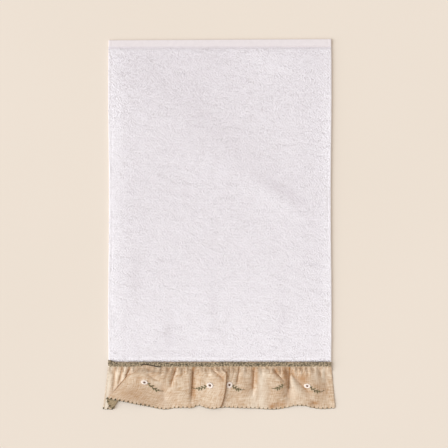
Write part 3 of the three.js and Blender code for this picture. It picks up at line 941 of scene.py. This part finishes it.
# %% Frill sheet
SCALLOP = 5.8
SCALLOP_DEPTH = 0.9
SCALLOP_FROM = HEADING + 0.96 * DEPTH
plain_face = on_frill(sheet_x, sheet_down)
along = np.cumsum(np.linalg.norm(np.diff(plain_face, axis=1), axis=2), axis=1)
along = np.concatenate([np.zeros((len(along), 1)), along], axis=1)
hem_along = along[-1]
scallops = np.abs(np.sin(math.pi * hem_along / SCALLOP)) * smooth(sheet_down, SCALLOP_FROM, HEADING + DEPTH)
frill_face = on_frill(sheet_x, sheet_down + SCALLOP_DEPTH * scallops)
grid = np.arange(sheet_x.size).reshape(sheet_x.shape)
faces = np.stack([grid[1:, :-1], grid[1:, 1:], grid[:-1, 1:], grid[:-1, :-1]], axis=-1).reshape(-1, 4)
frill_cloth = new_piece("frill_cloth", frill_face.reshape(-1, 3), faces, [linen_face, linen_back_shaded], "linen")
strip_length = float(along[:, -1].mean())
even_along = along * strip_length / along[:, -1:]
weave_at = np.stack([even_along, sheet_down], axis=-1).reshape(-1, 2) * MM
weave = frill_cloth.data.uv_layers.new(name="weave")
weave.data.foreach_set("uv", weave_at[faces.ravel()].ravel())
print("strip", round(strip_length, 1), "mm long,", int(hem_along[-1] / SCALLOP), "scallops")

# %% [markdown]
# Light and shade are partly painted into the linen's colour. Raised panels get a painted highlight, and
# cloth in a crease or beside a lap gets painted shade, a deeper brown. Shade from the light alone would be
# too weak for that, so two tables of soft areas add to the folds: painted highlights and patches of painted
# shade. Places are given on the cloth, in x and in shares of the depth.

# %% Tables of painted highlights and shade
# Painted highlights on raised panels.
PAINTED_HIGHLIGHT_PANELS = [
    # x, drift, from, to, left, right, how pale
    (-150, -5, -0.1, 1.6, 6, 5, 0.95),
    (-137.5, -3, -0.1, 0.6, 2, 2.5, 0.45),
    (-127, -5, -0.1, 0.45, 1.6, 2.2, 0.5),
    (-116, -4, -0.1, 0.25, 2, 2.4, 0.5),
    (-80.5, 0, 0.35, 0.7, 5, 6, 0.4),
    (-74, 0, 0.6, 1.4, 6, 6, 0.35),
    (-8, -4, 0.2, 1.4, 8, 8, 0.08),
    (33, 0, -0.1, 0.3, 4, 4, 0.35),
    (45, 0, 0.55, 1.4, 6, 5, 0.45),
    (55, 1, 0.05, 1.4, 5, 9.5, 0.55),
    (91, 0, 0.55, 1.2, 4, 3, 0.3),
    (97.5, 8, 0.28, 1.05, 4, 8, 0.5),
    (129, 0, -0.1, 0.45, 5, 4, 0.4),
    (139, 1, -0.1, 0.45, 4, 4, 0.4),
]
# Patches of painted shade: beside the laps, under the braid and along the hem.
PAINTED_SHADE_PATCHES = [
    # x, share, long, tall, turn, how deep
    (-110, 0.76, 24, 0.3, 0, 0.48),
    (-101.5, 0.29, 3, 0.08, 0, 0.5),
    (-86, 0.17, 7, 0.06, 0, 0.5),
    (-60, 0.84, 4, 0.12, 0, 0.35),
    (-35, 0.62, 3, 0.28, 0, 0.85),
    (-5.5, 0.72, 2.4, 0.2, 0, 0.5),
    (-4.6, 0.19, 2.5, 0.14, 0, 0.55),
    (-2.8, 0.5, 2, 0.12, 0, 0.4),
    (-1.5, 0.26, 2.2, 0.08, 0, 0.7),
    (49.5, 0.22, 3.2, 0.24, 0, 0.85),
    (69, 0.95, 4, 0.05, 0, 0.9),
    (75.5, 0.11, 3.5, 0.1, 0, 0.95),
    (77, 0.9, 8.5, 0.075, 0, 0.8),
    (87, 0.13, 4.5, 0.18, 0, 0.85),
    (88, 0.9, 5, 0.08, 0, 0.5),
    (89.5, 0.36, 2.6, 0.16, 0, 0.7),
    (111.5, 0.31, 8, 0.14, 0, 0.95),
    (127.5, 0.88, 8.5, 0.085, 0, 0.75),
]
print(len(PAINTED_HIGHLIGHT_PANELS), "pale panels and", len(PAINTED_SHADE_PATCHES), "brown patches")

# %% [markdown]
# A crease's painted shade is narrower than the crease, full in a deep one and weaker in a shallow one.
# Small creases are sharp, so they count for more than their depth. A lap has a line of painted shade on its
# crest and another on the cloth beside it, and just under the braid the painted shade is stronger. Last, a
# Solidify modifier gives the sheet its wrong side.

# %% Painted shade, highlights and thickness
FULL_DEPTH = 5
MOST_TONE = 1.1
LINE_WIDTH, LINE_SHARE = 0.3, 0.5
SHARPER = 2.2
PAINTED_SHADE_STRENGTH = 0.75
BRAID_SHADE = 1.5


def painted_fold_shade(x, share):
    """How much painted shade the cloth gets from its folds, laps and patches, about 0 to 1."""
    total = np.zeros(np.broadcast(x, share).shape)
    sharpened = [(*row[:-1], SHARPER * row[-1]) for row in small_folds]
    for at, drift, start, end, left, right, deep in TROUGHS + sharpened:
        tone = min(MOST_TONE, deep / FULL_DEPTH)
        left, right = LINE_WIDTH + LINE_SHARE * left, LINE_WIDTH + LINE_SHARE * right
        total = np.maximum(total, trough_depth((at, drift, start, end, left, right, tone), x, share))
    for fold in LAPPED_FOLDS:
        out = (x - crest_line(fold, share)) * fold["toward"]
        beside = out - fold["tuck"] - mix(*fold["lap"], share)
        lap = np.maximum(0.8 * bell(out - 0.5, 0.7), bell(beside - 0.8, 1.2))
        total = np.maximum(total, smooth(share, 0.02, 0.15) * lap)
    # Painted shade is stronger just under the braid.
    total = total * mix(BRAID_SHADE, 1, smooth(share, 0, 0.1))
    return np.maximum(total, patches(PAINTED_SHADE_PATCHES, x, share))


# The sheet gets two attributes: painted shade and painted highlight.
sheet_share = np.maximum(0, (sheet_down - HEADING) / DEPTH)
highlight = np.clip(sum(trough_depth(row, sheet_x, sheet_share) for row in PAINTED_HIGHLIGHT_PANELS), 0, 1)
for name, values in (("fold", PAINTED_SHADE_STRENGTH * painted_fold_shade(sheet_x, sheet_share)), ("painted_highlight", highlight)):
    tone = frill_cloth.data.attributes.new(name, "FLOAT", "POINT")
    tone.data.foreach_set("value", values.ravel())
bpy.ops.object.select_all(action="DESELECT")
bpy.context.view_layer.objects.active = frill_cloth
frill_cloth.select_set(True)
bpy.ops.object.modifier_add(type="SOLIDIFY")
solidify = frill_cloth.modifiers[-1]
solidify.thickness = CLOTH * MM
solidify.offset = 0
solidify.material_offset = 1
bpy.ops.object.modifier_apply(modifier=solidify.name)
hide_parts("frill")
print("frill_cloth", triangles(frill_cloth), "triangles")

# %% [markdown]
# ## Hem edging
# The hem is bound with olive thread. It wraps over the edge at every notch between two scallops and
# runs as a thin cord along the edge. The wraps are short bent paths over the cloth's rim. On the
# drawn-up flap at the left they are thicker, because the thread bunches up there.

# %% Edging threads
UP = np.array([0, 0, 1.0])
TABLE_GAP = 0.05
HEM_CORD = 0.28
FLAP_HEM = (-105, -75)
WRAP_PATH = [
    # out past the edge, up, radius
    (-1.6, 0.3, 0.25),
    (-0.9, 0.6, 0.45),
    (0.1, 0.55, 0.55),
    (0.6, 0.1, 0.45),
    (0.1, -0.25, 0.25),
]
# The way out of the cloth is found from a row a little above the hem.
hem = frill_face[-1]
toward_edge = hem - frill_face[-4]
toward_edge /= np.linalg.norm(toward_edge, axis=1, keepdims=True)


def along_line(values, lengths, places):
    """Values along a line, read at places given as lengths."""
    return np.stack([np.interp(places, lengths, values[:, axis]) for axis in range(3)], axis=-1)


def above_table(points):
    return np.stack([points[:, 0], points[:, 1], np.maximum(points[:, 2], TABLE_GAP)], axis=-1)


notches = np.arange(0, hem_along[-1], SCALLOP)
at = along_line(hem, hem_along, notches)
out = along_line(toward_edge, hem_along, notches)
wraps = np.stack([at + past * out + up * UP for past, up, _ in WRAP_PATH], axis=1)
full = random.uniform(0.7, 1.25, len(wraps)) * mix(2, 1, smooth(at[:, 0], *FLAP_HEM))
thick = full[:, None] * np.array([radius for _, _, radius in WRAP_PATH])
fine = np.linspace(0.3, hem_along[-1] - 0.3, 760)
cord = along_line(hem, hem_along, fine) + 0.12 * along_line(toward_edge, hem_along, fine) + 0.12 * UP
points, faces = together([skin(wraps, thick), skin(cord[None], HEM_CORD)])
hem_edging = new_piece("hem_edging", above_table(points), faces, [olive_thread], "linen")
print("hem_edging", len(notches), "wraps,", triangles(hem_edging), "triangles")

# %% [markdown]
# The two short ends of the strip are overlocked with a pale brown thread: a cord along the edge and a
# slanted stitch about every two millimetres. Both are skinned paths again, along the sheet's outer columns.

# %% Overlocked ends
OVERLOCK = 1.9
OVERLOCK_CORD, OVERLOCK_THREAD = 0.3, 0.22
# Ahead along the edge, in from it, up.
OVERLOCK_PATH = ((0, 1.6, 0.3), (0.4, 0.7, 0.55), (0.8, -0.3, 0.3))
ends = []
for column, side in ((0, -1), (-1, 1)):
    edge_line = frill_face[HEADING_ROWS + 1:, column]
    lengths = np.concatenate([[0], np.cumsum(np.linalg.norm(np.diff(edge_line, axis=0), axis=1))])
    places = np.arange(1, lengths[-1] - 1, OVERLOCK)
    outward = np.array([side, 0, 0])
    slanted = [along_line(edge_line, lengths, places + ahead) - inward * outward + up * UP
               for ahead, inward, up in OVERLOCK_PATH]
    ends.append(skin((edge_line + 0.1 * outward + 0.1 * UP)[None], OVERLOCK_CORD))
    ends.append(skin(np.stack(slanted, axis=1), OVERLOCK_THREAD))
points, faces = together(ends)
end_overlock = new_piece("end_overlock", above_table(points), faces, [brown_thread], "linen")
print("end_overlock", triangles(end_overlock), "triangles")

# %% [markdown]
# ## Embroidery
# Five small sprigs are worked in a row: a white daisy, a stem that runs from it, and leaves on both
# sides. The fourth daisy is lost in a fold. Each thread is placed on the cloth's own measures and
# raised along its normal, and so it follows the folds, as real embroidery does.

# %% Sprigs on the cloth
SPRIGS = [
    # x across, down from the braid, way of the stem, its length, drop and rise, daisy's width and height
    (-95.7, 21.4, 1, 17, 10.4, 0, (1.05, 0.98)),
    (-15, 24, -1, 19.5, 6, 1.2, (0.94, 1.14)),
    (12.8, 23.6, 1, 16.5, 7.6, 0.6, (1.2, 1.2)),
    (88.6, 22.4, -1, 16, 5.8, 0.8, None),
    (117.5, 25.7, 1, 19.5, 7.4, 2.2, (1.2, 0.9)),
]
# Step for finding the slope of the cloth.
NEAR = 0.3


def sewn_on(x, down, lift, radius):
    """Threads on the frill's face, their paths raised by lift along its normal."""
    x, down = np.asarray(x, dtype=float), np.asarray(down, dtype=float) + HEADING
    spot = on_frill(x, down)
    normal = np.cross(on_frill(x + NEAR, down) - spot, spot - on_frill(x, down + NEAR))
    normal /= np.linalg.norm(normal, axis=-1, keepdims=True)
    normal *= np.sign(normal[..., 2:3]) + (normal[..., 2:3] == 0)
    return skin(spot + normal * (CLOTH / 2 + np.broadcast_to(lift, x.shape)[..., None]), radius)


print(len(SPRIGS), "sprigs")

# %% [markdown]
# Satin stitches lie side by side, so a flower is a ring of short threads from its middle outwards. The
# ring is longer at eight places, which makes the petals. Seven small knots fill the middle, one of
# them in the centre.

# %% Daisies
PETAL_THREADS = 44
EYE, NOTCH, PETAL = 1.2, 3.15, 0.75
SEED_RING = 1.05
PETAL_THREAD, KNOT = 0.3, 0.48
turn = np.linspace(0, 2 * math.pi, PETAL_THREADS + 1)[:-1, None]
run = np.linspace(0, 1, 5)
petal_out = mix(EYE, NOTCH + PETAL * np.abs(np.cos(4 * turn)), run)
petal_lift = 0.1 + 0.5 * np.sin(math.pi * np.clip(run, 0.05, 0.95))
seed_turn = np.arange(7)[:, None] * math.pi / 3
seed_out = np.where(np.arange(7) == 6, 0, SEED_RING)[:, None]
coil = np.linspace(-0.5, 0.5, 4)
seed_x = seed_out * np.cos(seed_turn) + 0.7 * coil
seed_down = seed_out * np.sin(seed_turn) + 0.2 * coil
petals, knots = [], []
for x, down, *_, daisy in SPRIGS:
    if daisy:
        wide, tall = daisy
        petal_x, petal_down = x + wide * petal_out * np.cos(turn), down + tall * petal_out * np.sin(turn)
        petals.append(sewn_on(petal_x, petal_down, petal_lift, PETAL_THREAD))
        knots.append(sewn_on(x + wide * seed_x, down + tall * seed_down, 0.45 - 0.8 * coil ** 2, KNOT))
print(len(petals), "daisies of", PETAL_THREADS, "threads")

# %% [markdown]
# A stem starts at the flower's rim, sinks in a curve and rises a little at its tip. The leaves stand on
# both sides of its first half, each a row of short threads across a rib, widest in the middle.

# %% Stems and leaves
STEM_START, STEM_SINK, STEM_TURN = 3.4, 1.5, 0.72
STEM_THREAD, LEAF_THREAD = 0.34, 0.26
LEAF_HALF, LEAF_TIP = 0.7, 0.1
LEAF_LEAN, LEAF_SPREAD = 0.45, 0.85
LEAVES = [
    # share along the stem, side, length
    (0.02, -1, 3), (0.1, 1, 3.2), (0.2, -1, 3.8), (0.3, 1, 3.6),
    (0.4, -1, 3.6), (0.48, 1, 3.2), (0.58, -1, 2.6),
]
run = np.linspace(0, 1, 26)
sink = np.sin(math.pi / 2 * np.minimum(1, run / STEM_TURN))
rib = np.linspace(0.1, 1, 7)[:, None]
cross = np.linspace(-1, 1, 5)
half = (LEAF_HALF * np.sin(math.pi * rib ** 0.8) + LEAF_TIP) * cross
leaf_lift = 0.1 + 0.3 * np.cos(cross * math.pi / 2)
stems, leaves = [], []
for x, down, way, reach, drop, rise, _ in SPRIGS:
    stem_x = x + way * (STEM_START + reach * run)
    stem_down = down + mix(STEM_SINK, drop, sink) - rise * smooth(run, STEM_TURN, 1)
    stems.append(sewn_on(stem_x[None], stem_down[None], 0.25, STEM_THREAD))
    for spot, side, long in LEAVES:
        base_x, base_down = np.interp(spot, run, stem_x), np.interp(spot, run, stem_down)
        tilt = LEAF_LEAN + LEAF_SPREAD * side
        leaf_x = base_x + way * (long * rib * math.cos(tilt) - half * math.sin(tilt))
        leaf_down = base_down + long * rib * math.sin(tilt) + half * math.cos(tilt)
        leaves.append(sewn_on(leaf_x, leaf_down, leaf_lift, LEAF_THREAD))
embroidery = []
for name, parts, material in (
        ("daisy_petals", petals, petal_cotton), ("daisy_knots", knots, knot_thread),
        ("sprig_leaves", leaves, leaf_thread), ("sprig_stems", stems, stem_thread)):
    embroidery.append(new_piece(name, *together(parts), [material], "linen"))
    print(name, triangles(embroidery[-1]), "triangles")

# %% [markdown]
# ## The braid
# The trim is a flat gimp braid: plied yarns that swing from edge to edge and pass over and under each
# other. Its course comes first. It strays a little, its left end is turned over and so is wider, its
# right end is pressed down, and near the left the frill's first fold pushes the lower edge up.

# %% Course of the braid
BRAID_ENDS = (-150.4, 149.8)
BRAID_MIDDLE = 3.45
BRAID_SEAT = 4.45
TURNED_END, TURN_RISE = (-148.6, -139.6), 1.5
PRESSED_END, PRESS = (142, 150), 1.2
SAG, SAG_AT, SAG_WIDTH = 0.45, -40, 28
PUSH, PUSHED_FROM, PUSHED_MOST, PUSHED_TO = 3.2, -108, -103, -79
run = np.linspace(*BRAID_ENDS, 860)
turned = 1 - smooth(run, *TURNED_END)
pressed = smooth(run, *PRESSED_END)
stray = 0.3 * np.sin(run / 9.3) + 0.2 * np.sin(run / 4.3 + 1)
middle = BRAID_MIDDLE + 0.6 * stray + TURN_RISE * turned - SAG * bell(run - SAG_AT, SAG_WIDTH)
pushed = PUSH * smooth(run, PUSHED_FROM, PUSHED_MOST) * (1 - smooth(run, PUSHED_MOST, PUSHED_TO))
seat = BRAID_SEAT - PRESS * pressed
print("braid", round(run[-1] - run[0], 1), "mm long")

# %% [markdown]
# Each yarn is a wave across the braid with a wave twice as fast in height, so it lies over its
# neighbours on one slope and under them on the next. The same yarn, shifted along, makes the plait.

# %% Plaited yarns
PLAIT = 13.2
YARNS = 6
SWING = 2
CROSSING = 0.45
TURNED_SWING = 0.45
YARN_RADIUS = 0.72
yarns = []
for yarn in range(YARNS):
    phase = 2 * math.pi * (run / PLAIT + yarn / YARNS)
    swing = SWING * np.sin(phase) * (1 + TURNED_SWING * turned)
    swing += pushed * smooth(-swing, -SWING, SWING)
    height = CROSSING * np.cos(2 * phase + (yarn % 2) * math.pi) * (1 - pressed)
    yarns.append(np.stack([run, middle + swing, seat + height], axis=-1))
points, faces = skin(np.stack(yarns), YARN_RADIUS, sides=7)
braid_yarns = new_piece("braid_yarns", points, faces, [braid_yarn], "gimp")
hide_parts("braid")
print("braid_yarns", triangles(braid_yarns), "triangles")

# %% [markdown]
# A darker cord closes the braid's upper edge, not quite straight. Along the lower edge a paler yarn
# stands out in small loops. Where the fold pushes that edge up, a dark strand below it paints the shadow
# in the gap under the braid.

# %% Cords along the braid
CORD_UP, LOOPS_DOWN, SHADOW_DOWN = 2.1, 2.35, 3.35
EDGE_LOOP, EDGE_LOOP_RISE = 4.4, 0.7
SHADOW_ENDS = (-106, -79)
upper_y = middle + CORD_UP + 0.4 * stray + TURN_RISE * turned
upper = np.stack([run, upper_y, seat - 0.2 + 0.15 * np.sin(1.9 * run)], axis=-1)
edge_loops = EDGE_LOOP_RISE * np.cos(2 * math.pi * run / EDGE_LOOP)
lower_y = middle - LOOPS_DOWN + edge_loops + pushed - TURN_RISE * turned
lower = np.stack([run, lower_y, seat - 0.35], axis=-1)
# Painted shadow: a dark strand along the gap under the pushed-up edge.
shown = (run > SHADOW_ENDS[0]) & (run < SHADOW_ENDS[1])
shadow_path = np.stack([run, middle - SHADOW_DOWN + pushed, seat - 0.4], axis=-1)[shown]
cords = []
for name, path, radius, yarn in (
        ("braid_cord", upper, 0.66, dark_yarn), ("braid_loops", lower, 0.56, pale_yarn),
        ("braid_painted_shadow", shadow_path, 0.9, shadow_yarn)):
    cords.append(new_piece(name, *skin(path[None], radius, sides=7), [yarn], "gimp"))
    print(name, triangles(cords[-1]), "triangles")

# %% [markdown]
# ## Sheets
# Spread flat, the panel is the finished size with its turned hems added. The frill is a straight strip,
# longer than the towel is wide, and the gathering takes up the rest.

# %% [markdown]
# ## Table
# The towel lies on a plain cream table. A wide, faint drift in its colour keeps it from looking like
# paper. It is a plane that reaches past every view.

# %% Table
TABLE_SIDE = 8
TABLE_DRIFT = 400 * MM
bpy.ops.object.select_all(action="DESELECT")
bpy.ops.mesh.primitive_plane_add(size=TABLE_SIDE, location=(0, 0, 0))
floor = bpy.context.object
floor.name = "floor"
table_cream, shader = new_material("cream_table", roughness=0.7, sheen=0)
place = add_node(table_cream, "ShaderNodeTexCoord", {}).outputs["Object"]
drift = add_node(table_cream, "ShaderNodeTexNoise", {"Vector": place, "Scale": 1 / TABLE_DRIFT, "Detail": 2})
cream = add_node(table_cream, "ShaderNodeMix", {
    FACTOR: drift.outputs["Fac"], TONE_A: linear("#e9ddcf"), TONE_B: linear("#eee2d5")}, data_type="RGBA")
table_cream.node_tree.links.new(cream.outputs[MIXED], shader.inputs["Base Color"])
floor.data.materials.append(table_cream)
print("table", TABLE_SIDE, "m wide")

# %% [markdown]
# ## Light and camera
# A large soft light stands low on the left, so that the folds are modelled from that side, and the even,
# warmer surroundings fill the shadows. The camera looks straight down with a long lens, which keeps
# the towel's sides parallel. The standard view transform keeps the whites as they are given.

# %% Light and camera
# Places are in metres in the frame, and the lens in millimetres.
SURROUNDINGS, SURROUNDINGS_STRENGTH = (1, 0.93, 0.86, 1), 0.605
LIGHT_PLACE, LIGHT_COLOUR = (-1.75, -0.2, 1.2), (0.854, 0.927, 1)
LIGHT_STRENGTH, LIGHT_SPREAD = 2.7, math.radians(62)
CAMERA_PLACE, LENS = (0.0064, 0, 1.678), 100
world = bpy.data.worlds.new("studio")
bpy.context.scene.world = world
world.use_nodes = True
world.node_tree.nodes["Background"].inputs["Color"].default_value = SURROUNDINGS
world.node_tree.nodes["Background"].inputs["Strength"].default_value = SURROUNDINGS_STRENGTH
bpy.ops.object.light_add(type="SUN", location=LIGHT_PLACE)
key = bpy.context.object
key.data.angle = LIGHT_SPREAD
key.data.energy = LIGHT_STRENGTH
key.data.color = LIGHT_COLOUR
key.rotation_euler = (-key.location).to_track_quat("-Z", "Y").to_euler()
bpy.ops.object.camera_add(location=CAMERA_PLACE, rotation=(0, 0, 0))
camera = bpy.context.object
camera.data.lens = LENS
bpy.context.scene.camera = camera
bpy.context.scene.view_settings.view_transform = "Standard"
print("camera", tuple(round(v, 4) for v in camera.location))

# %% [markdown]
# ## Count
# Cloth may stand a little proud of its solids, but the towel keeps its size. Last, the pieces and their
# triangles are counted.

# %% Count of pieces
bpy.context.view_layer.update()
pieces = [terry_cloth, *pile, hem_stitches, frill_cloth, hem_edging, end_overlock,
          *embroidery, braid_yarns, *cords]
print(len(pieces), "pieces with", sum(triangles(piece) for piece in pieces), "triangles")
